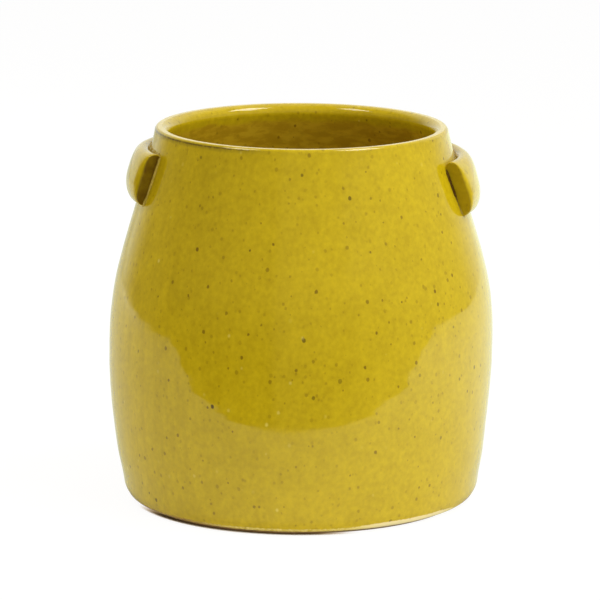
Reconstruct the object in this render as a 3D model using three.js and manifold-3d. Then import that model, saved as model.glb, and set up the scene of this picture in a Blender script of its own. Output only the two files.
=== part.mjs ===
// A wheel-thrown belly planter in glazed stoneware, with two pressed lugs under the rim.
// Millimetres, +Z up. The pot stands on z = 0, on the axis of the wheel, with a lug at each end of X.

import * as THREE from 'three';
import { mergeVertices } from 'three/addons/utils/BufferGeometryUtils.js';
import Module from 'manifold-3d';

// Driving dimensions of the thrown body
const height = 275; // table to the top of the lip
const bellyDiameter = 280; // widest place
const bellyHeight = 114;
const bellyFullnessAbove = 59; // how far the wall runs on upright above the belly
const bellyFullnessBelow = 20;
const rimDiameter = 212.4;
const neckSlope = 13.6; // degrees that the wall leans in under the rim
const neckStraightness = 89; // how far down the neck keeps that lean
const heelDiameter = 262; // where the wall turns under
const heelHeight = 13;
const heelSlope = 8.3; // degrees that the wall leans out above the heel
const heelStraightness = 64;
const heelRounding = 6.5; // pull of the turned-under edge
const wallThickness = 10;
const rimThickness = 11.8; // through the wall just under the lip
const lipOuterEdge = 2.4; // small arris outside the lip
const lipFlat = 2.2; // level top of the lip
const lipInnerDrop = 8.5; // the lip's inner side is rounded over this height
const floorThickness = 14;
const floorFillet = 24;
const rimLean = 3.3; // the rim sits this much lower over the right lug

// Driving dimensions of the turned foot
const footDiameter = 236;
const footWidth = 13;
const footRise = 1.8; // bare foot that shows under the glazed heel
const footRecess = 4; // the underside is hollowed by this much inside the foot

// Driving dimensions of the lugs
const lugHalfLength = 40.5; // from the middle to an end, along the wall
const lugEndSlant = 0.155; // the ends lean: longer at the top, shorter at the bottom
const lugBelowMiddle = 19; // from the middle down to the lower edge
const lugTopRounding = 16;
const lugBottomRounding = 21;
const lugEndArris = 3.6; // rounded edge round each flat end
const leftLugDrop = 34; // from the top of the lip down to the middle of the lug
const leftLugAboveMiddle = 19.8; // from the middle up to the crown
const leftLugCrownOut = 5.5; // the crown, the highest place, stands this far from the wall
const leftLugCrevice = 2.2; // how far the back of the crown drops to the wall
const leftLugStandOff = 12.2; // how far it stands out from the wall
const rightLugDrop = 39;
const rightLugAboveMiddle = 22.5;
const rightLugCrownOut = 7;
const rightLugCrevice = 6;
const rightLugStandOff = 13.2;

// Driving dimensions of the slip bead that lutes each lug to the wall
const beadWidth = 2.4;
const beadStandOff = 2.4;
const seam = 0.3; // clearance between clay pieces

// Pulls of the curves, as shares of the length that they round
const roundPull = 0.55; // nearly a quarter circle
const lipEdgePull = 0.5;
const lipInnerPull = 0.6;
const lowerWallReach = 0.75; // the most of the wall below the belly that keeps the heel's lean

// Fineness of the faceting
const wheelSegments = 64;
const wallSteps = 8;
const edgeSteps = 4;
const lugSteps = 10;

const manifold = await Module();
manifold.setup();

const bellyRadius = bellyDiameter / 2;
const rimRadius = rimDiameter / 2;
const heelRadius = heelDiameter / 2;
const footRadius = footDiameter / 2;

const glaze = { color: 0xc2aa2a, roughness: 0.14, metalness: 0 };
const slipGlaze = { color: 0xb39c3a, roughness: 0.25, metalness: 0 };

// Profile curves: x is the radius, y the height

function point(radius, level) {
  return new THREE.Vector2(radius, level);
}

function lean(degrees) {
  const angle = THREE.MathUtils.degToRad(degrees);
  return point(Math.sin(angle), Math.cos(angle));
}

function curve(start, startPull, endPull, end) {
  return new THREE.CubicBezierCurve(start, startPull, endPull, end);
}

function lowerWall(bottom, inset) {
  const belly = point(bellyRadius - inset, bellyHeight);
  const reach = Math.min(heelStraightness, (bellyHeight - bottom.y) * lowerWallReach);
  const bottomPull = bottom.clone().addScaledVector(lean(heelSlope), reach);
  return curve(bottom, bottomPull, point(belly.x, belly.y - bellyFullnessBelow), belly);
}

function upperWall(top, inset) {
  const belly = point(bellyRadius - inset, bellyHeight);
  const topPull = top.clone().addScaledVector(lean(-neckSlope), -neckStraightness);
  return curve(belly, point(belly.x, belly.y + bellyFullnessAbove), topPull, top);
}

const heelTop = point(heelRadius, heelHeight);
const lipOutside = point(rimRadius, height - lipOuterEdge);
const outerLower = lowerWall(heelTop, 0);
const outerUpper = upperWall(lipOutside, 0);

function heelCurve() {
  const under = point(footRadius + footRise / 2, footRise);
  const underPull = point(under.x + heelRounding, under.y);
  const topPull = heelTop.clone().addScaledVector(lean(heelSlope), -heelRounding);
  return curve(under, underPull, topPull, heelTop);
}

function lipCurves() {
  const crownOutside = point(rimRadius - lipOuterEdge, height);
  const crownInside = point(crownOutside.x - lipFlat, height);
  const insideLevel = height - lipInnerDrop;
  const inside = point(wallRadiusAt(insideLevel) - rimThickness, insideLevel);
  const insidePull = inside.clone().addScaledVector(lean(-neckSlope), lipInnerDrop * lipInnerPull);
  const roundness = (crownInside.x - inside.x) * roundPull;
  return {
    outerEdge: curve(
      lipOutside,
      lipOutside.clone().addScaledVector(lean(-neckSlope), lipOuterEdge * lipEdgePull),
      point(crownOutside.x + lipOuterEdge * lipEdgePull, height),
      crownOutside,
    ),
    innerEdge: curve(crownInside, point(crownInside.x - roundness, height), insidePull, inside),
    inside,
  };
}

function floorCurve(wallFoot) {
  const floorEdge = point(wallFoot.x - floorFillet, floorThickness);
  const pull = floorFillet * roundPull;
  const wallPull = wallFoot.clone().addScaledVector(lean(heelSlope), -pull);
  return curve(wallFoot, wallPull, point(floorEdge.x + pull, floorThickness), floorEdge);
}

function downwards(upCurve, steps) {
  return upCurve.getPoints(steps).reverse();
}

function joined(...runs) {
  const points = [];
  for (const run of runs) {
    for (const next of run) {
      const last = points[points.length - 1];
      if (!last || last.distanceTo(next) > 0.001) points.push(next);
    }
  }
  return points;
}

function bodyProfile() {
  const lip = lipCurves();
  const wallFoot = point(heelRadius - wallThickness, floorThickness + floorFillet);
  return joined(
    [point(0, footRecess), point(footRadius - footWidth - footRecess, footRecess)],
    [point(footRadius - footWidth, 0), point(footRadius, 0), point(footRadius, footRise)],
    heelCurve().getPoints(edgeSteps + 1),
    outerLower.getPoints(wallSteps),
    outerUpper.getPoints(wallSteps + 2),
    lip.outerEdge.getPoints(edgeSteps - 1),
    lip.innerEdge.getPoints(edgeSteps),
    downwards(upperWall(lip.inside, wallThickness), wallSteps),
    downwards(lowerWall(wallFoot, wallThickness), wallSteps - 3),
    floorCurve(wallFoot).getPoints(edgeSteps + 1),
    [point(0, floorThickness)],
  );
}

function wallRadiusAt(level) {
  const line = joined(outerLower.getPoints(60), outerUpper.getPoints(60));
  const above = line.findIndex((p) => p.y >= level);
  const high = line[Math.max(above, 1)];
  const low = line[Math.max(above, 1) - 1];
  return THREE.MathUtils.mapLinear(level, low.y, high.y, low.x, high.x);
}

// Solids

function turned(profile) {
  return new THREE.LatheGeometry(profile, wheelSegments).rotateX(Math.PI / 2);
}

function solidOf(geometry) {
  const shell = geometry.clone();
  shell.deleteAttribute('normal');
  shell.deleteAttribute('uv');
  const welded = mergeVertices(shell, 1e-4);
  const corners = Array.from(welded.index.array);
  const triangles = [];
  for (let i = 0; i < corners.length; i += 3) {
    const [a, b, c] = corners.slice(i, i + 3);
    if (a !== b && b !== c && c !== a) triangles.push(a, b, c);
  }
  const mesh = new manifold.Mesh({
    numProp: 3,
    vertProperties: Float32Array.from(welded.attributes.position.array),
    triVerts: Uint32Array.from(triangles),
  });
  return new manifold.Manifold(mesh);
}

function geometryOf(solid) {
  const mesh = solid.getMesh();
  const geometry = new THREE.BufferGeometry();
  geometry.setAttribute('position', new THREE.BufferAttribute(mesh.vertProperties, 3));
  geometry.setIndex(new THREE.BufferAttribute(mesh.triVerts, 1));
  return geometry;
}

function moveEachPoint(geometry, move) {
  const places = geometry.attributes.position;
  const place = new THREE.Vector3();
  for (let i = 0; i < places.count; i += 1) {
    move(place.fromBufferAttribute(places, i));
    places.setXYZ(i, place.x, place.y, place.z);
  }
  geometry.computeVertexNormals();
  return geometry;
}

// The kiln let the neck settle to one side: above the belly all clay sinks a little towards +X
function settle(place) {
  const share = THREE.MathUtils.smoothstep(place.z, bellyHeight, height);
  place.z -= (rimLean * share * (place.x / rimRadius + 1)) / 2;
}

// The outside of the wall as a solid block, one seam larger than the wall, for seating what is luted on
function wallBlock() {
  const outside = joined(outerLower.getPoints(wallSteps), outerUpper.getPoints(wallSteps + 2));
  const grown = outside.map((p) => point(p.x + seam, p.y));
  const profile = [point(0, heelHeight), ...grown, point(0, lipOutside.y)];
  return solidOf(turned(profile));
}

// Section of a lug: x is the distance out from the wall, y the height. It rises to a crown that stands
// off the wall, and drops behind it to its root.
function lugSection(bar) {
  const top = bar.middle + bar.aboveMiddle + bar.grow;
  const bottom = bar.middle - lugBelowMiddle - bar.grow;
  const rootTop = top - bar.crevice;
  const rootDepth = bar.arris + 2;
  const shape = new THREE.Shape();
  shape.moveTo(-rootDepth, bottom);
  shape.lineTo(0, bottom);
  shape.bezierCurveTo(
    bar.standOff * roundPull, bottom,
    bar.standOff, bottom + bar.bottomRounding * 0.5,
    bar.standOff, bottom + bar.bottomRounding,
  );
  shape.lineTo(bar.standOff, top - bar.topRounding);
  shape.bezierCurveTo(
    bar.standOff, top - bar.topRounding * 0.3,
    bar.crownOut + (bar.standOff - bar.crownOut) * 0.7, top,
    bar.crownOut, top,
  );
  if (bar.crevice > 0) {
    shape.bezierCurveTo(
      bar.crownOut * 0.45, top,
      bar.crownOut * 0.15, rootTop + bar.crevice * 0.35,
      0, rootTop,
    );
  }
  shape.lineTo(-rootDepth, rootTop);
  shape.closePath();
  return shape;
}

// A straight bar of that section with rounded end edges, bent round the wall at the +X side
function bentBar(bar) {
  const halfLength = lugHalfLength + bar.grow;
  const geometry = new THREE.ExtrudeGeometry(lugSection(bar), {
    depth: 2 * (halfLength - bar.arris),
    steps: lugSteps,
    curveSegments: 6,
    bevelEnabled: true,
    bevelThickness: bar.arris,
    bevelSize: bar.arris,
    bevelOffset: -bar.arris,
    bevelSegments: 3,
  });
  geometry.translate(0, 0, -(halfLength - bar.arris));
  moveEachPoint(geometry, (place) => {
    const stretch = 1 + (lugEndSlant * (place.y - bar.middle)) / halfLength;
    const wallRadius = wallRadiusAt(place.y);
    const angle = (-place.z * stretch) / wallRadius;
    const radius = wallRadius + place.x;
    place.set(radius * Math.cos(angle), radius * Math.sin(angle), place.y);
  });
  return solidOf(geometry);
}

function lugBar(lug, grow) {
  return bentBar({
    middle: lug.middle,
    aboveMiddle: lug.aboveMiddle,
    crevice: lug.crevice,
    standOff: lug.standOff + grow,
    crownOut: lug.crownOut,
    grow,
    arris: lugEndArris,
    topRounding: lugTopRounding,
    bottomRounding: lugBottomRounding,
  });
}

function beadBar(lug) {
  return bentBar({
    middle: lug.middle,
    aboveMiddle: lug.aboveMiddle - lug.crevice,
    crevice: 0,
    standOff: beadStandOff + seam,
    crownOut: 0,
    grow: beadWidth + seam,
    arris: beadWidth * 0.6,
    topRounding: beadWidth * 2,
    bottomRounding: beadWidth * 2,
  });
}

function lugSolid(lug) {
  return lugBar(lug, 0).subtract(wallBlock());
}

function beadSolid(lug) {
  return beadBar(lug).subtract(lugBar(lug, seam)).subtract(wallBlock());
}

// Parts

function piece(name, geometry, look) {
  moveEachPoint(geometry, settle);
  const mesh = new THREE.Mesh(geometry, new THREE.MeshStandardMaterial(look));
  mesh.name = name;
  return mesh;
}

function thrownBody() {
  return piece('thrown_body', turned(bodyProfile()), glaze);
}

function lugWithBead(side, lug, turn) {
  const group = new THREE.Group();
  group.add(piece(`${side}_lug`, geometryOf(lugSolid(lug)).rotateZ(turn), glaze));
  group.add(piece(`${side}_luting_bead`, geometryOf(beadSolid(lug)).rotateZ(turn), slipGlaze));
  return group;
}

const leftLug = {
  middle: height - leftLugDrop,
  aboveMiddle: leftLugAboveMiddle,
  crownOut: leftLugCrownOut,
  crevice: leftLugCrevice,
  standOff: leftLugStandOff,
};
const rightLug = {
  middle: height - rightLugDrop,
  aboveMiddle: rightLugAboveMiddle,
  crownOut: rightLugCrownOut,
  crevice: rightLugCrevice,
  standOff: rightLugStandOff,
};

const group = new THREE.Group();
group.add(thrownBody());
group.add(lugWithBead('left', leftLug, Math.PI));
group.add(lugWithBead('right', rightLug, 0));

export default group;
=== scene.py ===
"""A wheel-thrown belly planter with two pressed lugs, in speckled mustard glaze, on a white table."""

import math

import bmesh
import bpy
import numpy as np
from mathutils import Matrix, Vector

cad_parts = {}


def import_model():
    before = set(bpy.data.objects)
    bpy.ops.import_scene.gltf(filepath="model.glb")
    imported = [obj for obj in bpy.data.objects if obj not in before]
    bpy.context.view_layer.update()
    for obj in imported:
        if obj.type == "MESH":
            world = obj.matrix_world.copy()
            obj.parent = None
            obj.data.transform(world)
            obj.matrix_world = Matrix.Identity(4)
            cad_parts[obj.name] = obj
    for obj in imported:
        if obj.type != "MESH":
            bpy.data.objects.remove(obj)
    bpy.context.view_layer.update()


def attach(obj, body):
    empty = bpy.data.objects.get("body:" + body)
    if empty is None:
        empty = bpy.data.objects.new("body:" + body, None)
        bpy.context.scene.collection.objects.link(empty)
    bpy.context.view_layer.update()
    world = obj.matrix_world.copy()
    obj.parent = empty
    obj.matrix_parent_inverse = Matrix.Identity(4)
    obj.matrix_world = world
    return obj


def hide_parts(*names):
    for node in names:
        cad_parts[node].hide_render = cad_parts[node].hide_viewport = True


MM = 0.001

# The thrown body, in millimetres
HEIGHT = 275
BELLY_RADIUS = 140
BELLY_HEIGHT = 114
BELLY_FULLNESS_BELOW = 20  # how far the wall runs on upright below the belly
BELLY_FULLNESS_ABOVE = 59  # and above it
HEEL_RADIUS = 131
HEEL_HEIGHT = 13
HEEL_ROUNDING = 6.5
HEEL_SLOPE = math.radians(8.3)
HEEL_STRAIGHTNESS = 64  # how far up the wall keeps the heel's lean
LOWER_WALL_REACH = 0.75  # the most of the wall below the belly that keeps it
NECK_SLOPE = math.radians(13.6)
NECK_STRAIGHTNESS = 89  # how far down the wall keeps the neck's lean
RIM_RADIUS = 106.2
RIM_THICKNESS = 11.8
WALL_THICKNESS = 10
FLOOR_LEVEL = 14
FLOOR_FILLET = 24
FOOT_RADIUS = 118
FOOT_WIDTH = 13
FOOT_RISE = 1.8
FOOT_RECESS = 4
UNDERSIDE_RADIUS = 60  # what lies nearer the axis is floor, and was never drawn in

# The lip, in millimetres
LIP_EDGE = 2.4
LIP_FLAT = 2.2
LIP_DROP = 8.5
LIP_ROUNDING = 0.95
LIP_TOP = HEIGHT - 0.05
LIP_CROWN_HIGHLIGHT_ABOVE = HEIGHT - 0.12  # above this level the lip's crown gets a painted highlight

# How the neck sank in the kiln, in millimetres
RIM_LEAN = 3.3  # the right lug, with the neck behind it
LIP_SINK = (0.85, 0.5, 0.7)  # the lip on average, more at the right, more at the back

# Where the wall was drawn in, in millimetres: how far, at which level, over which spread
DRAWN_IN_RIGHT = (0.9, 62, 38)
DRAWN_IN_HEEL = (1.15, 14, 15)
WAVES_KEPT_IN = 0.16  # keeps the crests of the finger waves inside the turned outline

# How finely the body is turned
TURNS = 288  # points round the wheel
INNER_LIP_STEPS = 18
INNER_NECK_STEPS = 60
INNER_BELLY_STEPS = 26
FLOOR_STEPS = 16
FLOOR_RINGS = (78, 58, 38, 19)  # radii of the rings that close the floor
INSIDE_ROWS = INNER_LIP_STEPS + INNER_NECK_STEPS + INNER_BELLY_STEPS + FLOOR_STEPS + len(FLOOR_RINGS)

# The lugs and the slip that lutes them, in millimetres
LUG_HALF_LENGTH = 40.5
LUG_END_SLANT = 0.155
LUG_BELOW_MIDDLE = 19
LUG_TOP_ROUNDING = 16
LUG_BOTTOM_ROUNDING = 21
LUG_SEAT_DEPTHS = (1.2, 3)  # where the root's rows lie behind the face of the wall
LUG_END_RINGS = (0.93, 0.7, 0.4)  # sizes of the rings that close a cut end
ROOT_CORNER = 4.5
BEAD_SIZE = 1.15
BEAD_SIDES = 9
# end_shade and the crevice strength set how dark the painted shade is on a lug's near cut end and in the
# crevice of its luting
LUGS = {
    "left": {
        "side": -1, "middle": 241, "above_middle": 19.8, "stand_off": 12.2, "crown_out": 5.5,
        "crevice": 2.2, "edge": 1.0, "dip": 0.030, "end_shade": 1.0, "bead_swell": 0.3, "crevice_shade_strength": 0,
    },
    "right": {
        "side": 1, "middle": 236, "above_middle": 22.5, "stand_off": 13.2, "crown_out": 7,
        "crevice": 6, "edge": 0.62, "dip": 0.018, "end_shade": 0.42, "bead_swell": 0.95, "crevice_shade_strength": 1,
    },
}

# Colours of the glaze, the slip and the clay, and of the painted light and shade on them
GLAZE_THICK = (0.472, 0.334, 0.004, 1)
GLAZE_THIN = (0.603, 0.436, 0.007, 1)
# the inside: real deeper glaze in patches, and painted shade over the whole inside
POOL_AND_SHADE_LIGHTER = (0.57, 0.37, 0.014)
POOL_AND_SHADE_DARKER = (0.44, 0.27, 0.008)
# painted dark reflection along the lip's outer edge
LIP_EDGE_PAINTED_DARK = (0.085, 0.055, 0.010)
# painted highlight on the lip's crown, lighter as if lit from above
LIP_CROWN_PAINTED_HIGHLIGHT = (0.84, 0.70, 0.30)
# painted shade on the lugs' near cut ends
CUT_END_PAINTED_SHADE = (0.125, 0.062, 0.004)
# darker streaks towards the left of the wall
LEFT_STREAK_BROWN = (0.27, 0.185, 0.003)
HEEL_FRONT = (0.80, 0.66, 0.18)
HEEL_LEFT = (0.34, 0.17, 0.03)
# pale painted highlight along the heel at the right
HEEL_RIGHT_PAINTED_HIGHLIGHT = (0.84, 0.72, 0.36)
SLIP_THICK = (0.44, 0.31, 0.015, 1)
SLIP_THIN = (0.72, 0.53, 0.09, 1)
# painted shade in the crevices of the luting
CREVICE_PAINTED_SHADE = (0.075, 0.036, 0.005)
CLAY_DARK = (0.24, 0.16, 0.09, 1)
CLAY_LIGHT = (0.36, 0.26, 0.16, 1)
GROG_BROWN = (0.10, 0.07, 0.05)

# Dark and pale specks in the glaze: cells per metre, the share of them that hold one, its radius and
# softness in cells, the strength of the faintest and of all, and the colour
SPECKS = {
    "faint": {"cells": 205.0, "share": 0.85, "radius": 0.22, "softness": 0.09, "faintest": 0.10,
              "strength": 0.5, "colour": (0.19, 0.105, 0.002)},
    "clear": {"cells": 160.0, "share": 0.95, "radius": 0.19, "softness": 0.05, "faintest": 0.22,
              "strength": 0.85, "colour": (0.15, 0.075, 0.002)},
    "bold": {"cells": 66.0, "share": 0.9, "radius": 0.086, "softness": 0.018, "faintest": 0.5,
             "strength": 0.92, "colour": (0.05, 0.022, 0.002)},
    "pale": {"cells": 118.0, "share": 0.22, "radius": 0.13, "softness": 0.08, "faintest": 0.15,
             "strength": 0.55, "colour": (0.86, 0.72, 0.16)},
}

# The camera, in metres and degrees
CAMERA_PLACE = (0, -3.4272, 0.8629)
CAMERA_TILT = 78.17
LENS = 288.05  # millimetres, for a picture 36 mm wide
PIXEL = 1 / 600  # of the picture's width

# The studio, in metres
POT_MIDDLE = 0.15
ROOM_RADIUS = 2.6
ROOM_TOP = 88  # degrees above the horizon
LIGHT_FROM_LEFT = (0.10, 0.05, 0.03)
LIGHT_FROM_RIGHT = (0.84, 0.84, 0.83)
WHITE = (1, 1, 1)

# Numbers of the sockets of a Mix node that mixes colours
MIX_SHARE, MIX_FIRST, MIX_SECOND, MIX_RESULT = 0, 6, 7, 2


# ---------------------------------------------------------------- outlines of the pot


def curve(start, pull_out, pull_in, end, steps):
    t = np.linspace(0, 1, steps + 1)[:, None]
    a, b, c, d = (np.array(p, float) for p in (start, pull_out, pull_in, end))
    return a * (1 - t) ** 3 + 3 * b * t * (1 - t) ** 2 + 3 * c * t**2 * (1 - t) + d * t**3


def lower_wall(bottom, inset, steps):
    reach = min(HEEL_STRAIGHTNESS, (BELLY_HEIGHT - bottom[1]) * LOWER_WALL_REACH)
    pull = (bottom[0] + reach * math.sin(HEEL_SLOPE), bottom[1] + reach * math.cos(HEEL_SLOPE))
    belly = BELLY_RADIUS - inset
    return curve(bottom, pull, (belly, BELLY_HEIGHT - BELLY_FULLNESS_BELOW), (belly, BELLY_HEIGHT), steps)


def upper_wall(top, inset, steps):
    reach = NECK_STRAIGHTNESS
    pull = (top[0] + reach * math.sin(NECK_SLOPE), top[1] - reach * math.cos(NECK_SLOPE))
    belly = BELLY_RADIUS - inset
    return curve((belly, BELLY_HEIGHT), (belly, BELLY_HEIGHT + BELLY_FULLNESS_ABOVE), pull, top, steps)


LIP_OUTSIDE = (RIM_RADIUS, HEIGHT - LIP_EDGE)
OUTER_WALL = np.vstack(
    [lower_wall((HEEL_RADIUS, HEEL_HEIGHT), 0, 70)[:-1], upper_wall(LIP_OUTSIDE, 0, 110)]
)


def wall_radius(level):
    return np.interp(level, OUTER_WALL[:, 1], OUTER_WALL[:, 0])


def foot_run():
    """Under the floor, over the foot ring and up its outside."""
    inner = FOOT_RADIUS - FOOT_WIDTH
    outer = FOOT_RADIUS
    hollow = [(UNDERSIDE_RADIUS, FOOT_RECESS), (inner - 5, FOOT_RECESS), (inner - 3.6, FOOT_RECESS - 0.3)]
    ring = [(inner - 0.5, 0.35), (inner + 0.4, 0), (inner + 4, 0), (outer - 3, 0), (outer - 0.5, 0)]
    outside = [(outer, 0.4), (outer + 0.1, 1.3), (outer + 0.3, 1.6)]
    return np.array(hollow + ring + outside, float)


def heel_run():
    under = (FOOT_RADIUS + FOOT_RISE / 2, FOOT_RISE)
    top = (HEEL_RADIUS, HEEL_HEIGHT)
    pull = (top[0] - HEEL_ROUNDING * math.sin(HEEL_SLOPE), top[1] - HEEL_ROUNDING * math.cos(HEEL_SLOPE))
    return curve(under, (under[0] + HEEL_ROUNDING, under[1]), pull, top, 22)


def lip_runs():
    """The lip's outer edge, its inner side, and where that meets the wall inside."""
    crown = RIM_RADIUS - LIP_EDGE
    rise = LIP_ROUNDING * math.cos(NECK_SLOPE)
    pull = (RIM_RADIUS - LIP_ROUNDING * math.sin(NECK_SLOPE), LIP_OUTSIDE[1] + rise)
    outer = curve(LIP_OUTSIDE, pull, (crown + LIP_ROUNDING, LIP_TOP), (crown, LIP_TOP), 12)
    inside_level = HEIGHT - LIP_DROP
    inside = (float(wall_radius(inside_level)) - RIM_THICKNESS, inside_level)
    start = crown - LIP_FLAT
    drop = LIP_DROP * 0.6
    pull = (inside[0] - drop * math.sin(NECK_SLOPE), inside[1] + drop * math.cos(NECK_SLOPE))
    over = (start - (start - inside[0]) * 0.55, LIP_TOP)
    inner = curve((start, LIP_TOP), over, pull, inside, INNER_LIP_STEPS)
    return outer, inner, inside


def floor_run(wall_foot):
    edge = (wall_foot[0] - FLOOR_FILLET, FLOOR_LEVEL)
    reach = FLOOR_FILLET * 0.55
    pull = (wall_foot[0] - reach * math.sin(HEEL_SLOPE), wall_foot[1] - reach * math.cos(HEEL_SLOPE))
    return curve(wall_foot, pull, (edge[0] + reach, FLOOR_LEVEL), edge, FLOOR_STEPS)


def body_outline():
    """Radius and height from under the foot, up the outside, over the lip and down to the floor."""
    outer, inner, inside = lip_runs()
    wall_foot = (HEEL_RADIUS - WALL_THICKNESS, FLOOR_LEVEL + FLOOR_FILLET)
    runs = [
        foot_run(),
        heel_run(),
        OUTER_WALL[1:],
        outer[1:],
        inner,
        upper_wall(inside, WALL_THICKNESS, INNER_NECK_STEPS)[::-1][1:],
        lower_wall(wall_foot, WALL_THICKNESS, INNER_BELLY_STEPS)[::-1][1:],
        floor_run(wall_foot)[1:],
        np.array([(radius, FLOOR_LEVEL) for radius in FLOOR_RINGS], float),
    ]
    return np.vstack(runs)


# ---------------------------------------------------------------- what the hand and the kiln did, and painted light and shade


def smooth_step(value, low, high):
    t = np.clip((value - low) / (high - low), 0, 1)
    return t * t * (3 - 2 * t)


def swell(value, middle, spread):
    """1 at the middle, fading out softly to both sides."""
    return np.exp(-(((value - middle) / spread) ** 2))


def settle(place):
    """The neck sank a little in the kiln, more at the right and at the back."""
    share = smooth_step(place[:, 2], BELLY_HEIGHT, HEIGHT)
    middle, right, back = LIP_SINK
    place[:, 2] -= share * (middle + (right * place[:, 0] + back * place[:, 1]) / RIM_RADIUS)
    return place


def settle_lug(place):
    """A lug leans with the neck."""
    share = smooth_step(place[:, 2], BELLY_HEIGHT, HEIGHT)
    place[:, 2] -= RIM_LEAN * share * (place[:, 0] / RIM_RADIUS + 1) / 2
    return place


def hand_sway(level):
    """How far the wall wandered off the wheel's axis along X."""
    levels = [0, 13, 40, 65, 90, 118, 150, 180, 230, 275]
    return np.interp(level, levels, [0, 0, -0.2, -0.3, -0.3, 0, 0.6, 0.8, 0.7, 0.4])


def out_of_round(level, turn):
    """The wall drawn in low at the right and round the heel, and waves that the fingers left."""
    right, right_level, right_spread = DRAWN_IN_RIGHT
    heel, heel_level, heel_spread = DRAWN_IN_HEEL
    drawn_in = right * swell(level, right_level, right_spread) * (1 + np.cos(turn)) / 2
    drawn_in += heel * swell(level, heel_level, heel_spread)
    waves = (
        0.030 * np.sin(level / 4.9 + 0.8 * np.sin(turn + 0.4))
        + 0.022 * np.sin(level / 2.7 + 1.9 + 0.6 * np.sin(2 * turn))
        + 0.060 * np.sin(2 * turn + 0.9 + level / 61)
        + 0.035 * np.sin(5 * turn - level / 23)
        + 0.020 * np.sin(9 * turn + level / 13)
    )
    return -drawn_in + waves - WAVES_KEPT_IN


def placed(radius, turn, level):
    """Points of the thrown clay, in metres."""
    shown = smooth_step(level, 1.5, 7) * (1 - smooth_step(level, 268, 274))
    radius = radius + out_of_round(level, turn) * shown * (radius > UNDERSIDE_RADIUS)
    place = np.stack([radius * np.cos(turn), radius * np.sin(turn), level], 1)
    place[:, 0] += hand_sway(level)
    return settle(place) * MM


def glaze_and_painted_light_marks(outline, turns):
    """How the glaze lies, per point, with painted light and shade: deeper glaze and painted shade inside,
    a painted dark reflection on the lip's outer edge, a painted highlight on its crown, and the band at
    the heel where the glaze broke.
    """
    radius, level = outline[:, :1], outline[:, 1:]
    rows = np.arange(len(outline))[:, None]
    inside = rows > len(outline) - INSIDE_ROWS
    outside = ~inside * (radius > FOOT_RADIUS)
    front_left = smooth_step(-np.cos(turns - math.radians(25)), 0.5, 0.92)[None, :]
    all_round = np.ones_like(front_left)
    # a painted dark reflection along the lip's outer edge, strongest towards the front left
    edge = swell(level, 273.2, 0.75) * (radius > RIM_RADIUS - 2.0)
    return {
        # the inside below the lip: deeper glaze, with painted shade
        "pool_and_shade": inside * (1 - smooth_step(level, 254, 270)) * all_round,
        "lip_edge_painted_dark": edge * (0.08 + 0.92 * front_left),
        "lip_crown_painted_highlight": (level > LIP_CROWN_HIGHLIGHT_ABOVE) * all_round,
        "heel_edge": outside * (1 - smooth_step(level, 4.5, 9.0)) * all_round,
    }


# ---------------------------------------------------------------- meshes


def band(first, second, count):
    """Faces between two closed rings of points, given by the number of their first points."""
    ahead = [(k + 1) % count for k in range(count)]
    return [(first + k, first + n, second + n, second + k) for k, n in enumerate(ahead)]


def fan(ring, centre, count):
    """Faces from a closed ring of points to the point at its centre."""
    return [(ring + k, ring + (k + 1) % count, centre) for k in range(count)]


def new_piece(name, points, faces, materials, smooth_angle=42):
    mesh = bpy.data.meshes.new(name)
    mesh.from_pydata([tuple(p) for p in points], [], faces)
    mesh.validate()
    for material in materials:
        mesh.materials.append(material)
    piece = bpy.data.objects.new(name, mesh)
    bpy.context.scene.collection.objects.link(piece)
    shape = bmesh.new()
    shape.from_mesh(mesh)
    bmesh.ops.recalc_face_normals(shape, faces=shape.faces)
    shape.to_mesh(mesh)
    shape.free()
    mesh.shade_smooth()
    mesh.set_sharp_from_angle(angle=math.radians(smooth_angle))
    return piece


def mark(piece, label, share):
    """A share from 0 to 1 on each point, which the materials read."""
    layer = piece.data.attributes.new(label, "FLOAT", "POINT")
    layer.data.foreach_set("value", np.asarray(share, np.float32))


def is_bare(start, end):
    """Whether the clay is bare between two points of the outline: under the floor and on the foot."""
    on_foot = end[1] < FOOT_RISE and end[0] < FOOT_RADIUS + 1
    under_floor = start[0] < FOOT_RADIUS and start[1] < FOOT_RECESS + 0.1
    return bool(on_foot or under_floor)


def throw_body(glaze, bare_clay):
    outline = body_outline()
    turns = np.linspace(0, 2 * math.pi, TURNS, endpoint=False)
    rings = [placed(np.full(TURNS, r), turns, np.full(TURNS, z)) for r, z in outline]
    points = np.vstack(rings + [[(0, 0, FOOT_RECESS * MM)], [(0, 0, FLOOR_LEVEL * MM)]])
    under, floor = len(points) - 2, len(points) - 1
    faces, bare = [], []
    for row in range(len(outline) - 1):
        faces += band(row * TURNS, (row + 1) * TURNS, TURNS)
        bare += [is_bare(outline[row], outline[row + 1])] * TURNS
    faces += fan(0, under, TURNS) + fan((len(outline) - 1) * TURNS, floor, TURNS)
    bare += [True] * TURNS + [False] * TURNS
    body = new_piece("glazed_body", points, faces, [glaze, bare_clay])
    body.data.polygons.foreach_set("material_index", np.array(bare, np.int32))
    for label, share in glaze_and_painted_light_marks(outline, turns).items():
        mark(body, label, np.append(share.ravel(), [0, 1]))
    return body


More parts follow.
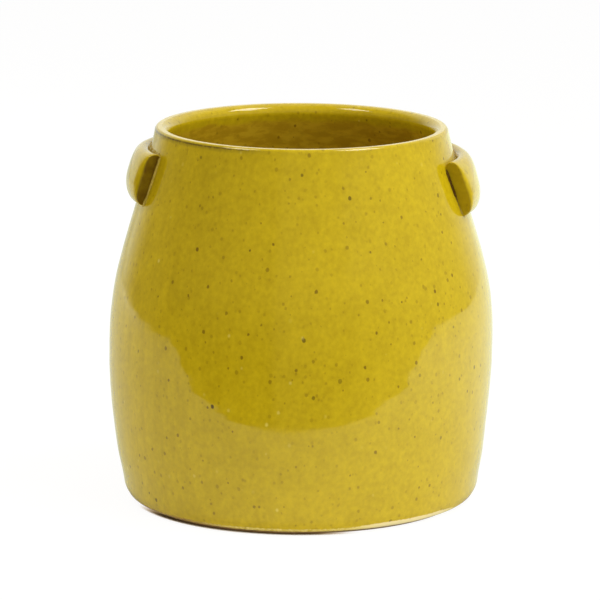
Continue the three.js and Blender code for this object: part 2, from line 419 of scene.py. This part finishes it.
def lug_section(lug):
    """Distance out from the wall, height, and width of the rounded end edge there."""
    top, bottom = lug["middle"] + lug["above_middle"], lug["middle"] - LUG_BELOW_MIDDLE
    out, crown, root = lug["stand_off"], lug["crown_out"], top - lug["crevice"]
    low, high = bottom + LUG_BOTTOM_ROUNDING, top - LUG_TOP_ROUNDING
    shallow, deep = LUG_SEAT_DEPTHS
    pull = (out, bottom + LUG_BOTTOM_ROUNDING * 0.5)
    belly = curve((0, bottom), (out * 0.55, bottom), pull, (out, low), 26)
    pull = (crown + (out - crown) * 0.7, top)
    shoulder = curve((out, high), (out, top - LUG_TOP_ROUNDING * 0.3), pull, (crown, top), 22)
    pull = (crown * 0.15, root + lug["crevice"] * 0.35)
    back = curve((crown, top), (crown * 0.45, top), pull, (0, root), 10)
    seat_below = [(-deep, bottom), (-shallow, bottom)]
    seat_above = [(-shallow, root), (-deep, root)]
    outline = np.vstack([seat_below, belly, shoulder, back[1:], seat_above])
    share = np.clip(outline[:, 0] / out, 0, 1)
    up = (outline[:, 1] - bottom) / (top - bottom)
    edge = 0.8 + 4.4 * share * smooth_step(up, 0.0, 0.45) - 2.9 * smooth_step(up, 0.62, 1.0) * share
    return outline, np.maximum(edge * lug["edge"], 0.8)


def inward(outline):
    along = np.roll(outline, -1, 0) - np.roll(outline, 1, 0)
    along /= np.linalg.norm(along, axis=1)[:, None]
    return np.stack([-along[:, 1], along[:, 0]], 1)


def bent_round_wall(side, middle, along, out, level):
    """Millimetres along the lug, out from the wall and up, to a place on the pot in metres."""
    stretch = 1 + LUG_END_SLANT * (level - middle) / LUG_HALF_LENGTH
    wall = wall_radius(level)
    angle = along * stretch / wall
    radius = wall + out
    place = np.stack([side * radius * np.cos(angle), -radius * np.sin(angle), level], 1)
    place[:, 0] += hand_sway(level)
    return settle_lug(place) * MM


def lug_stations():
    """Shares of the half length from the near end to the far one, and the tilt on a rounded edge."""
    tilts = np.radians([14, 26, 38, 50, 62, 74, 90])
    near_edge = [(1, tilt) for tilt in tilts]
    far_edge = [(-1, tilt) for tilt in tilts[::-1]]
    return near_edge + [(along, None) for along in np.linspace(0.86, -0.86, 45)] + far_edge


def finger_marks(reach, outline, side):
    """How far the fingers left the face of the lug high or low, in millimetres."""
    marks = (
        0.16 * np.sin(reach / 9.0 + side) * np.sin(outline[:, 1] / 6.5)
        + 0.10 * np.sin(reach / 4.1 + 2 * side + outline[:, 1] / 5)
    )
    return marks * np.clip(outline[:, 0] / 4, 0, 1)


def press_lug(name, lug, glaze):
    outline, edge = lug_section(lug)
    push = inward(outline)
    count = len(outline)
    # thin holds, per ring, how much painted shade the near cut end takes
    rings, thin = [], []
    for along, tilt in lug_stations():
        section, reach, painted_end_shade = outline, np.full(count, along * LUG_HALF_LENGTH), 0
        if tilt is not None:
            section = outline + push * (edge * (1 - math.sin(tilt)))[:, None]
            reach = along * (LUG_HALF_LENGTH - edge * (1 - math.cos(tilt)))
            # the near cut end and the start of its rounded edge take painted shade
            painted_end_shade = 1 - smooth_step(math.degrees(tilt), 12, 44) if along > 0 else 0
        out = section[:, 0] - 0.12 + finger_marks(reach, outline, lug["side"]) * 0.8
        level = section[:, 1] - lug["dip"] * (LUG_HALF_LENGTH - reach)
        rings.append(bent_round_wall(lug["side"], lug["middle"], reach, out, level))
        thin.append(np.full(count, painted_end_shade))
    faces = []
    for row in range(len(rings) - 1):
        faces += band(row * count, (row + 1) * count, count)
    total = count * len(rings)
    for row, painted_end_shade in ((0, 1.0), (len(rings) - 1, 0.0)):
        ring, before = rings[row], row * count
        centre = ring.mean(0)
        for share in LUG_END_RINGS:
            rings.append(centre + (ring - centre) * share)
            thin.append(np.full(count, painted_end_shade))
            faces += band(before, total, count)
            before, total = total, total + count
        rings.append(centre[None, :])
        thin.append([painted_end_shade])
        faces += fan(before, total, count)
        total += 1
    piece = new_piece(name, np.vstack(rings), faces, [glaze], 30)
    # painted shade on the near cut end, darker on the left lug, where less light reaches it
    mark(piece, "cut_end_painted_shade", np.concatenate(thin) * lug["end_shade"])
    return piece


def root_path(lug, steps=220):
    """Along and level, round the root of a lug, from its lower near corner up and round."""
    low, high = -LUG_BELOW_MIDDLE, lug["above_middle"] - lug["crevice"]
    near, far = LUG_HALF_LENGTH, -LUG_HALF_LENGTH
    round_by = ROOT_CORNER
    path = []
    for x, y, start in ((near, low, -90), (near, high, 0), (far, high, 90), (far, low, 180)):
        centre = (x - math.copysign(round_by, x), y - math.copysign(round_by, y))
        for turn in np.radians(np.linspace(start, start + 90, 10)):
            path.append((centre[0] + round_by * math.cos(turn), centre[1] + round_by * math.sin(turn)))
    path = np.array(path + [path[0]])
    length = np.concatenate([[0], np.cumsum(np.linalg.norm(np.diff(path, axis=0), axis=1))])
    at = np.linspace(0, length[-1], steps, endpoint=False)
    level = lug["middle"] + np.interp(at, length, path[:, 1])
    return np.stack([np.interp(at, length, path[:, 0]), level], 1)


def lute(name, lug, slip):
    """The roll of slip round the root of a lug, uneven as a finger leaves it."""
    side, middle = lug["side"], lug["middle"]
    path = root_path(lug)
    count = len(path)
    ahead = np.roll(path, -1, 0) - np.roll(path, 1, 0)
    ahead /= np.linalg.norm(ahead, axis=1)[:, None]
    across = np.stack([ahead[:, 1], -ahead[:, 0]], 1)
    up = (path[:, 1] - middle) / LUG_BELOW_MIDDLE
    near = smooth_step(path[:, 0], 0.8 * LUG_HALF_LENGTH, LUG_HALF_LENGTH)
    on_top = smooth_step(up, 0.75, 1.0)
    position = np.arange(count)
    rough = np.sin(position * 1.31 + side) * 0.5 + np.sin(position * 0.57 + 2 * side) * 0.5
    size = BEAD_SIZE + 0.18 * rough + 0.45 * on_top * (0.4 + rough)
    size += lug["bead_swell"] * near * smooth_step(up, -0.5, -0.1)
    size += 0.7 * near * swell(up, -0.85, 0.16)
    points, faces = [], []
    for k in range(BEAD_SIDES):
        turn = 2 * math.pi * k / BEAD_SIDES
        spread = path + across * (size * (0.25 + math.cos(turn)))[:, None]
        out = size * 0.85 * math.sin(turn) - 0.25
        points.append(bent_round_wall(side, middle, spread[:, 0], out, spread[:, 1]))
        faces += band(k * count, (k + 1) % BEAD_SIDES * count, count)
    piece = new_piece(name, np.vstack(points), faces, [slip], 80)
    # painted shade in the crevice at the lug's near end and along the top of the bead
    crevice = near * (0.55 + 0.45 * smooth_step(up, -0.7, -0.2)) * lug["crevice_shade_strength"]
    mark(piece, "crevice_shade", np.tile(np.clip(on_top * 0.45 + crevice, 0, 1), BEAD_SIDES))
    return piece


# ---------------------------------------------------------------- nodes


def add(tree, kind, **settings):
    made = tree.nodes.new(kind)
    for name, value in settings.items():
        setattr(made, name, value)
    return made


def wire(tree, source, target):
    tree.links.new(source, target)


def feed(tree, value, socket):
    """Wires an output to the socket, or sets a plain value there."""
    if hasattr(value, "is_output"):
        wire(tree, value, socket)
    else:
        socket.default_value = value


def calculate(tree, operation, *values, clamp=False):
    made = add(tree, "ShaderNodeMath", operation=operation, use_clamp=clamp)
    for socket, value in zip(made.inputs, values):
        feed(tree, value, socket)
    return made.outputs[0]


def times(tree, first, second):
    return calculate(tree, "MULTIPLY", first, second)


def times_plus(tree, first, second, added, clamp=False):
    return calculate(tree, "MULTIPLY_ADD", first, second, added, clamp=clamp)


def remap(tree, value, low, high, to_low=0.0, to_high=1.0, smooth=True):
    made = add(tree, "ShaderNodeMapRange", interpolation_type="SMOOTHSTEP" if smooth else "LINEAR")
    wire(tree, value, made.inputs["Value"])
    for name, number in (("From Min", low), ("From Max", high), ("To Min", to_low), ("To Max", to_high)):
        feed(tree, number, made.inputs[name])
    return made.outputs["Result"]


def blend_colour(tree, share, first, second):
    made = add(tree, "ShaderNodeMix", data_type="RGBA")
    wire(tree, share, made.inputs[MIX_SHARE])
    for number, colour in ((MIX_FIRST, first), (MIX_SECOND, second)):
        feed(tree, colour if hasattr(colour, "is_output") else (*colour, 1), made.inputs[number])
    return made.outputs[MIX_RESULT]


def cloud(tree, place, scale, detail=3.0, roughness=0.55, stretch=None):
    if stretch:
        squeezed = add(tree, "ShaderNodeMapping")
        squeezed.inputs["Scale"].default_value = stretch
        wire(tree, place, squeezed.inputs["Vector"])
        place = squeezed.outputs[0]
    made = add(tree, "ShaderNodeTexNoise")
    wire(tree, place, made.inputs["Vector"])
    made.inputs["Scale"].default_value = scale
    made.inputs["Detail"].default_value = detail
    made.inputs["Roughness"].default_value = roughness
    return made.outputs["Fac"]


def split_place(tree, place):
    """The X, Y and Z of a place."""
    parts = add(tree, "ShaderNodeSeparateXYZ")
    wire(tree, place, parts.inputs[0])
    return parts.outputs


def along_direction(tree, place, way):
    """How far a place lies along a direction."""
    made = add(tree, "ShaderNodeVectorMath", operation="DOT_PRODUCT")
    wire(tree, place, made.inputs[0])
    made.inputs[1].default_value = way
    return made.outputs["Value"]


def object_place(tree):
    return add(tree, "ShaderNodeTexCoord").outputs["Object"]


def read_mark(tree, label):
    return add(tree, "ShaderNodeAttribute", attribute_name=label).outputs["Fac"]


def new_group(name, inputs, outputs):
    group = bpy.data.node_groups.new(name, "ShaderNodeTree")
    for label, kind, value in inputs:
        socket = group.interface.new_socket(name=label, in_out="INPUT", socket_type=kind)
        if value is not None:
            socket.default_value = value
    for label, kind in outputs:
        group.interface.new_socket(name=label, in_out="OUTPUT", socket_type=kind)
    return group, add(group, "NodeGroupInput").outputs, add(group, "NodeGroupOutput").inputs


def grouped(tree, group, **values):
    made = add(tree, "ShaderNodeGroup", node_tree=group)
    for name, value in values.items():
        feed(tree, value, made.inputs[name.replace("_", " ")])
    return made.outputs[0]


# ---------------------------------------------------------------- effects shared by the materials


def iron_specks():
    """Spots of iron that bled through the glaze: a mask that is 1 in a speck."""
    group, given, put = new_group(
        "iron_specks",
        [
            ("Place", "NodeSocketVector", None),
            ("Cells per Metre", "NodeSocketFloat", 120.0),
            ("Share", "NodeSocketFloat", 0.6),
            ("Radius", "NodeSocketFloat", 0.12),
            ("Softness", "NodeSocketFloat", 0.05),
            ("Faintest", "NodeSocketFloat", 0.3),
        ],
        [("Mask", "NodeSocketFloat")],
    )
    wobble = add(group, "ShaderNodeTexNoise")
    wobble.inputs["Scale"].default_value = 900
    wire(group, given["Place"], wobble.inputs["Vector"])
    shifted = add(group, "ShaderNodeVectorMath", operation="MULTIPLY_ADD")
    wire(group, wobble.outputs["Color"], shifted.inputs[0])
    shifted.inputs[1].default_value = (0.0009, 0.0009, 0.0009)
    wire(group, given["Place"], shifted.inputs[2])
    run_down = add(group, "ShaderNodeMapping")
    run_down.inputs["Scale"].default_value = (1, 1, 0.8)
    wire(group, shifted.outputs[0], run_down.inputs["Vector"])
    cells = add(group, "ShaderNodeTexVoronoi")
    wire(group, run_down.outputs[0], cells.inputs["Vector"])
    wire(group, given["Cells per Metre"], cells.inputs["Scale"])
    draws = add(group, "ShaderNodeSeparateColor")
    wire(group, cells.outputs["Color"], draws.inputs[0])
    chosen = calculate(group, "LESS_THAN", draws.outputs[0], given["Share"])
    size = times(group, times_plus(group, draws.outputs[1], 0.75, 0.35), given["Radius"])
    outside = calculate(group, "ADD", size, given["Softness"])
    inside = calculate(group, "SUBTRACT", size, given["Softness"])
    spot = remap(group, cells.outputs["Distance"], inside, outside, 1.0, 0.0)
    strength = calculate(group, "POWER", draws.outputs[2], 2.0)
    strength = remap(group, strength, 0.0, 1.0, given["Faintest"], 1.0, smooth=False)
    wire(group, times(group, times(group, spot, strength), chosen), put["Mask"])
    return group


def glaze_depth():
    """Where the glaze ran thick or thin: a colour between the two, in clouds."""
    group, given, put = new_group(
        "glaze_depth",
        [
            ("Place", "NodeSocketVector", None),
            ("Thick", "NodeSocketColor", (0.5, 0.38, 0.02, 1)),
            ("Thin", "NodeSocketColor", (0.6, 0.45, 0.03, 1)),
            ("Contrast", "NodeSocketFloat", 1.0),
        ],
        [("Colour", "NodeSocketColor")],
    )
    broad = cloud(group, given["Place"], 14.0, 2.0, 0.5, (1, 1, 0.6))
    middle = cloud(group, given["Place"], 75.0, 3.0, 0.55, (1, 1, 0.75))
    fine = cloud(group, given["Place"], 300.0, 2.0, 0.6, (1, 1, 0.85))
    mixed = times_plus(group, middle, 0.30, times(group, broad, 0.18))
    mixed = times_plus(group, fine, 0.52, mixed)
    centred = calculate(group, "SUBTRACT", mixed, 0.5)
    share = times_plus(group, centred, given["Contrast"], 0.5, clamp=True)
    wire(group, blend_colour(group, share, given["Thick"], given["Thin"]), put["Colour"])
    return group


def surface_height():
    """Throwing rings and the soft unevenness of a melted glaze, as a height in millimetres."""
    group, given, put = new_group(
        "surface_height",
        [
            ("Place", "NodeSocketVector", None),
            ("Rings", "NodeSocketFloat", 0.004),
            ("Peel", "NodeSocketFloat", 0.004),
        ],
        [("Height", "NodeSocketFloat")],
    )
    ring_pitch = 0.0062
    drift = cloud(group, given["Place"], 9.0, 1.0, 0.5)
    level = times_plus(group, drift, 0.010, split_place(group, given["Place"])["Z"])
    ring = calculate(group, "SINE", times(group, level, 2 * math.pi / ring_pitch))
    peel = calculate(group, "SUBTRACT", cloud(group, given["Place"], 160.0, 2.0, 0.45), 0.5)
    height = times_plus(group, ring, given["Rings"], times(group, peel, given["Peel"]))
    wire(group, height, put["Height"])
    return group


# ---------------------------------------------------------------- glaze and clay


def new_material(name):
    material = bpy.data.materials.new(name)
    material.use_nodes = True
    tree = material.node_tree
    return material, tree, tree.nodes["Principled BSDF"], object_place(tree)


def raise_surface(tree, shader, height, distance=0.001):
    bump = add(tree, "ShaderNodeBump")
    bump.inputs["Strength"].default_value = 1.0
    bump.inputs["Distance"].default_value = distance
    wire(tree, height, bump.inputs["Height"])
    wire(tree, bump.outputs[0], shader.inputs["Normal"])


def pool_and_shade_inside(tree, place, colour):
    """The glaze lies deeper in patches inside the pot, and painted shade darkens and browns the whole
    inside below the lip.
    """
    patches = cloud(tree, place, 70.0, 4.0, 0.6, (1, 1, 2.6))
    pool_and_shade = times_plus(tree, patches, 0.9, read_mark(tree, "pool_and_shade"))
    deep = blend_colour(tree, remap(tree, patches, 0.38, 0.62), POOL_AND_SHADE_LIGHTER, POOL_AND_SHADE_DARKER)
    return blend_colour(tree, remap(tree, pool_and_shade, 0.65, 1.1), colour, deep)


def speckle(tree, groups, place, colour):
    for speck in SPECKS.values():
        mask = grouped(tree, groups["specks"], Place=place, Cells_per_Metre=speck["cells"],
                       Share=speck["share"], Radius=speck["radius"], Softness=speck["softness"],
                       Faintest=speck["faintest"])
        colour = blend_colour(tree, times(tree, mask, speck["strength"]), colour, speck["colour"])
    return colour


def painted_light_on_edges(tree, place, grit, colour):
    """Painted light on the edges: a painted dark reflection along the lip's outer edge, a painted
    highlight on the lip's crown, and painted shade on the lugs' near cut ends.
    """
    # painted dark reflection on the lip's outer edge
    edge = times(tree, read_mark(tree, "lip_edge_painted_dark"), remap(tree, grit, 0.3, 0.6, 0.55, 1.0))
    colour = blend_colour(tree, edge, colour, LIP_EDGE_PAINTED_DARK)
    # painted highlight on the lip's crown
    crown = times(tree, read_mark(tree, "lip_crown_painted_highlight"), remap(tree, grit, 0.3, 0.6, 0.2, 0.6))
    colour = blend_colour(tree, crown, colour, LIP_CROWN_PAINTED_HIGHLIGHT)
    # painted shade on the lugs' near cut ends
    shade = remap(tree, cloud(tree, place, 95.0, 3.0, 0.6), 0.3, 0.7, 0.8, 1.0)
    return blend_colour(tree, times(tree, read_mark(tree, "cut_end_painted_shade"), shade), colour, CUT_END_PAINTED_SHADE)


def left_dark_streaks(tree, place, to_left, colour):
    """Darker vertical streaks down the wall, only towards its left."""
    runs = remap(tree, cloud(tree, place, 130.0, 3.0, 0.6, (1, 1, 0.12)), 0.42, 0.62)
    return blend_colour(tree, times(tree, times(tree, runs, to_left), 0.15), colour, LEFT_STREAK_BROWN)


def heel_break_and_highlight(tree, across, to_left, grit, colour):
    """Along the heel the glaze broke, brown towards the left; towards the right the band is wider and
    pale, a painted highlight.
    """
    to_right = times(tree, remap(tree, across, 0.03, 0.06), remap(tree, across, 0.112, 0.100))
    heel = blend_colour(tree, to_left, HEEL_FRONT, HEEL_LEFT)
    heel = blend_colour(tree, to_right, heel, HEEL_RIGHT_PAINTED_HIGHLIGHT)
    break_and_highlight = times_plus(tree, grit, 0.5, read_mark(tree, "heel_edge"))
    break_and_highlight = remap(tree, times_plus(tree, to_right, 0.5, break_and_highlight), 1.12, 1.32)
    return blend_colour(tree, break_and_highlight, colour, heel)


def mustard_glaze(groups):
    material, tree, shader, place = new_material("mustard_glaze")
    across = split_place(tree, place)["X"]
    to_left = remap(tree, across, -0.04, -0.09)
    grit = cloud(tree, place, 420.0, 3.0, 0.65)
    colour = grouped(tree, groups["depth"], Place=place, Thick=GLAZE_THICK, Thin=GLAZE_THIN, Contrast=3.4)
    colour = pool_and_shade_inside(tree, place, colour)
    colour = speckle(tree, groups, place, colour)
    colour = painted_light_on_edges(tree, place, grit, colour)
    colour = left_dark_streaks(tree, place, to_left, colour)
    colour = heel_break_and_highlight(tree, across, to_left, grit, colour)
    wire(tree, colour, shader.inputs["Base Color"])
    streaks = cloud(tree, place, 60.0, 2.0, 0.5)
    wire(tree, remap(tree, streaks, 0.3, 0.7, 0.05, 0.09), shader.inputs["Roughness"])
    shader.inputs["IOR"].default_value = 1.5
    raise_surface(tree, shader, grouped(tree, groups["height"], Place=place, Rings=0.0035, Peel=0.018))
    return material


def luting_slip(groups):
    material, tree, shader, place = new_material("slip_under_glaze")
    colour = grouped(tree, groups["depth"], Place=place, Thick=SLIP_THICK, Thin=SLIP_THIN, Contrast=3.0)
    # painted shade in the crevices: darker and without gloss
    crevice_shade = read_mark(tree, "crevice_shade")
    grit = cloud(tree, place, 520.0, 3.0, 0.7)
    dark = times(tree, crevice_shade, remap(tree, grit, 0.3, 0.55, 0.8, 1.0))
    wire(tree, blend_colour(tree, dark, colour, CREVICE_PAINTED_SHADE), shader.inputs["Base Color"])
    wire(tree, remap(tree, grit, 0.3, 0.7, 0.2, 0.45), shader.inputs["Roughness"])
    wire(tree, remap(tree, crevice_shade, 0.0, 0.6, 0.3, 0.0), shader.inputs["Specular IOR Level"])
    raise_surface(tree, shader, grouped(tree, groups["height"], Place=place, Rings=0.0, Peel=0.08))
    return material


def bare_stoneware(groups):
    material, tree, shader, place = new_material("bare_stoneware")
    colour = grouped(tree, groups["depth"], Place=place, Thick=CLAY_DARK, Thin=CLAY_LIGHT, Contrast=2.0)
    grog = grouped(tree, groups["specks"], Place=place, Cells_per_Metre=420.0, Share=0.5,
                   Radius=0.22, Softness=0.1)
    colour = blend_colour(tree, times(tree, grog, 0.6), colour, GROG_BROWN)
    wire(tree, colour, shader.inputs["Base Color"])
    grain = cloud(tree, place, 1100.0, 3.0, 0.7)
    wire(tree, remap(tree, grain, 0.3, 0.7, 0.78, 0.95), shader.inputs["Roughness"])
    raise_surface(tree, shader, times(tree, grain, 0.12))
    return material


# ---------------------------------------------------------------- studio


def studio_piece(name, corners, faces, finish):
    """A piece of the studio, with the empty node tree of its finish."""
    mesh = bpy.data.meshes.new(name)
    mesh.from_pydata(corners, [], faces)
    material = bpy.data.materials.new(finish)
    material.use_nodes = True
    material.node_tree.nodes.clear()
    mesh.materials.append(material)
    piece = bpy.data.objects.new(name, mesh)
    bpy.context.scene.collection.objects.link(piece)
    return piece, material.node_tree


def contact_shadow(tree, place, across):
    """A mask that is 1 on the table close under the heel, on the side towards the camera."""
    nearby = add(tree, "ShaderNodeAmbientOcclusion", samples=16)
    nearby.inputs["Distance"].default_value = 0.007
    reach = remap(tree, across, -0.10, -0.03, 0.33, 0.28)
    full = calculate(tree, "SUBTRACT", reach, 0.15)
    covered = remap(tree, nearby.outputs["AO"], full, reach, 1.0, 0.0)
    in_front = remap(tree, along_direction(tree, place, (-0.45, -0.89, 0)), 0.082, 0.104)
    return times(tree, covered, in_front)


def table_in_gloss(tree, place, across):
    """How bright the glaze reflects the table: more towards the right, little under the heel."""
    from_axis = add(tree, "ShaderNodeVectorMath", operation="LENGTH")
    wire(tree, place, from_axis.inputs[0])
    under_heel = remap(tree, from_axis.outputs["Value"], 0.120, 0.146, 0.2, 1.0)
    return times(tree, remap(tree, across, -0.1, 0.6, 0.52, 1.15), under_heel)


def white_table():
    """A pale table, whose rounded front edge lies just below the picture."""
    edge = [(x, -0.285 - 0.04 * math.exp(-((x / 0.30) ** 2)), 0) for x in np.linspace(-1.0, 1.0, 41)]
    corners = [(-2.2, -0.285, 0), *edge, (2.2, -0.285, 0), (2.2, 3.2, 0), (-2.2, 3.2, 0)]
    table, tree = studio_piece("table_top", corners, [tuple(range(len(corners)))], "white_table")
    rays = add(tree, "ShaderNodeLightPath").outputs
    place = object_place(tree)
    across = split_place(tree, place)["X"]
    covered = contact_shadow(tree, place, across)

    shade = times_plus(tree, rays["Is Camera Ray"], -0.7, 0.8)
    shade = times_plus(tree, rays["Is Glossy Ray"], -0.5, shade)
    grey = add(tree, "ShaderNodeCombineColor")
    for socket in grey.inputs[:3]:
        wire(tree, shade, socket)
    paint = add(tree, "ShaderNodeBsdfDiffuse")
    wire(tree, grey.outputs[0], paint.inputs["Color"])

    power = times(tree, rays["Is Camera Ray"], times_plus(tree, covered, -0.91, 0.93))
    power = times_plus(tree, rays["Is Glossy Ray"], table_in_gloss(tree, place, across), power)
    power = times_plus(tree, rays["Is Transmission Ray"], 0.2, power)
    power = times_plus(tree, rays["Is Diffuse Ray"], 0.28, power)
    tint = blend_colour(tree, covered, WHITE, (1.0, 0.6, 0.15))
    tint = blend_colour(tree, rays["Is Glossy Ray"], tint, (0.90, 1.0, 0.72))
    glow = add(tree, "ShaderNodeEmission")
    wire(tree, power, glow.inputs["Strength"])
    wire(tree, tint, glow.inputs["Color"])

    both = add(tree, "ShaderNodeAddShader")
    wire(tree, paint.outputs[0], both.inputs[0])
    wire(tree, glow.outputs[0], both.inputs[1])
    wire(tree, both.outputs[0], add(tree, "ShaderNodeOutputMaterial").inputs["Surface"])
    return table


def direction(turn, height):
    """A unit vector; in degrees, turn 0 is towards the camera, 90 to the right, height 0 level."""
    a, e = math.radians(turn), math.radians(height)
    return np.array([math.sin(a) * math.cos(e), -math.cos(a) * math.cos(e), math.sin(e)])


def room_light(tree):
    """How bright each part of the dark room is."""
    parts = split_place(tree, object_place(tree))
    turn = calculate(tree, "ARCTAN2", parts["X"], times(tree, parts["Y"], -1.0))
    low, high = POT_MIDDLE - 0.24 * ROOM_RADIUS, POT_MIDDLE + 0.41 * ROOM_RADIUS
    higher = remap(tree, parts["Z"], low, high)
    lower = calculate(tree, "SUBTRACT", 1.0, higher)
    centre = remap(tree, turn, math.radians(-20), math.radians(-12))
    right = remap(tree, turn, math.radians(15), math.radians(75))
    far_left = remap(tree, turn, math.radians(-82), math.radians(-104))
    behind_left = remap(tree, turn, math.radians(-118), math.radians(-150))
    behind_right = remap(tree, turn, math.radians(112), math.radians(148))
    light = times_plus(tree, higher, 0.16, 0.03)
    light = times_plus(tree, centre, 0.12, light)
    light = times_plus(tree, right, 0.20, light)
    light = times_plus(tree, times(tree, far_left, lower), 0.12, light)
    light = times_plus(tree, behind_left, 0.85, light)
    return times_plus(tree, behind_right, 0.70, light)


def dark_room():
    """The unlit room on the photographer's side, seen only by the gloss of the glaze."""
    turns, heights = np.linspace(-150, 148, 75), np.linspace(-88, ROOM_TOP, 38)
    middle = np.array([0, 0, POT_MIDDLE])
    points = [middle + ROOM_RADIUS * direction(turn, height) for height in heights for turn in turns]
    across = len(turns)
    faces = []
    for row in range(len(heights) - 1):
        for corner in range(row * across, (row + 1) * across - 1):
            faces.append((corner, corner + 1, corner + across + 1, corner + across))
    room, tree = studio_piece("dark_room", points, faces, "dark_room")
    glow = add(tree, "ShaderNodeEmission")
    glow.inputs["Color"].default_value = (0.93, 1.0, 0.80, 1)
    wire(tree, room_light(tree), glow.inputs["Strength"])
    wire(tree, glow.outputs[0], add(tree, "ShaderNodeOutputMaterial").inputs["Surface"])
    room.visible_camera = False
    room.visible_transmission = False
    room.visible_diffuse = False
    room.visible_shadow = False
    return room


def softbox(name, turn, height, distance, width, length, power, colour=WHITE, in_gloss=True):
    lamp = bpy.data.lights.new(name, "AREA")
    lamp.shape = "RECTANGLE"
    lamp.size, lamp.size_y = width, length
    lamp.energy = power
    lamp.color = colour
    box = bpy.data.objects.new(name, lamp)
    away = direction(turn, height)
    box.location = np.array([0, 0, POT_MIDDLE]) + away * distance
    box.rotation_mode = "QUATERNION"
    box.rotation_quaternion = Vector(away).to_track_quat("Z", "Y")
    box.visible_glossy = in_gloss
    bpy.context.scene.collection.objects.link(box)


def white_surroundings():
    """White to the camera and to the gloss; as light, soft and stronger from the right."""
    world = bpy.data.worlds.new("white_surroundings")
    bpy.context.scene.world = world
    world.use_nodes = True
    tree = world.node_tree
    tree.nodes.clear()
    rays = add(tree, "ShaderNodeLightPath").outputs
    seen = calculate(tree, "MAXIMUM", rays["Is Camera Ray"], rays["Is Glossy Ray"])
    seen = calculate(tree, "MAXIMUM", seen, rays["Is Transmission Ray"])
    way = add(tree, "ShaderNodeTexCoord").outputs["Generated"]
    to_right = times_plus(tree, along_direction(tree, way, (0.88, -0.45, 0.14)), 0.5, 0.5)
    light = blend_colour(tree, to_right, LIGHT_FROM_LEFT, LIGHT_FROM_RIGHT)
    backdrop = blend_colour(tree, rays["Is Glossy Ray"], WHITE, (0.97, 1.0, 0.88))
    sky = add(tree, "ShaderNodeBackground")
    wire(tree, blend_colour(tree, seen, light, backdrop), sky.inputs["Color"])
    wire(tree, sky.outputs[0], add(tree, "ShaderNodeOutputWorld").inputs["Surface"])


def set_studio():
    white_table()
    dark_room()
    softbox("softbox_right", 73, 60, 1.7, 0.6, 0.6, 10.5)
    softbox("softbox_left", -72, 60, 1.7, 0.5, 0.5, 6.1, (1, 0.95, 0.84))
    softbox("soft_back_light_left", -125, 12, 2.0, 0.8, 1.2, 15.5, (0.97, 1, 0.88), in_gloss=False)
    softbox("soft_fill_right", 45, 32, 2.2, 1.2, 1.2, 11.5, in_gloss=False)
    white_surroundings()


def aim_camera():
    lens = bpy.data.cameras.new("photograph_view")
    lens.sensor_width = 36
    lens.lens = LENS
    lens.shift_x = -PIXEL
    lens.clip_end = 30
    camera = bpy.data.objects.new("photograph_view", lens)
    camera.location = CAMERA_PLACE
    camera.rotation_euler = (math.radians(CAMERA_TILT), 0, 0)
    bpy.context.scene.collection.objects.link(camera)
    bpy.context.scene.camera = camera


# ---------------------------------------------------------------- the scene


def main():
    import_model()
    bpy.context.scene.view_settings.view_transform = "Standard"
    aim_camera()
    groups = {"specks": iron_specks(), "depth": glaze_depth(), "height": surface_height()}
    glaze, slip, clay = mustard_glaze(groups), luting_slip(groups), bare_stoneware(groups)

    body = throw_body(glaze, clay)
    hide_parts("thrown_body")
    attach(body, "root")
    for name, lug in LUGS.items():
        pressed = press_lug(f"{name}_pressed_lug", lug, glaze)
        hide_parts(f"{name}_lug")
        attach(pressed, "root")
        luting = lute(f"{name}_luting", lug, slip)
        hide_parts(f"{name}_luting_bead")
        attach(luting, "root")

    set_studio()


main()
